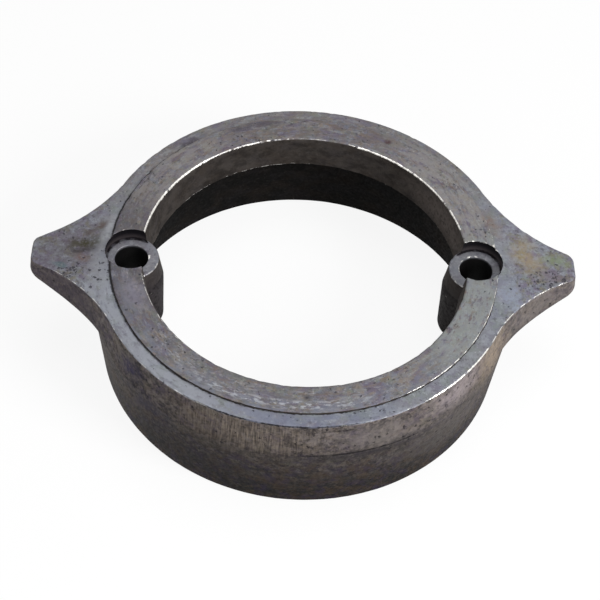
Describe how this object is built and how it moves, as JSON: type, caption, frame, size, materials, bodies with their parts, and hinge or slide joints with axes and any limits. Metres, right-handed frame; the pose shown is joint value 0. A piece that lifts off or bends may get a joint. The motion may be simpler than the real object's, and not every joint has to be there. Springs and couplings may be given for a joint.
{
  "type": "sacrificial anode",
  "caption": "Cast ring anode for a boat's stern drive: a flanged ring with a thin hollow skirt, pointed lobes at its sides and counterbored screw bosses in its bore.",
  "frame": {"origin": "on the ring's axis, in the plane of the skirt's lower edge", "axes": "+Z along the ring's axis from the skirt's lower edge to the raised land, X from lobe tip to lobe tip"},
  "size_m": [0.1656, 0.129, 0.039],
  "materials": {
    "cast_zinc": "as-cast zinc, tarnished grey with brown and bluish patches, worn bright along the edges"
  },
  "bodies": {
    "root": {"anode_ring": "cast_zinc"}
  },
  "joints": []
}
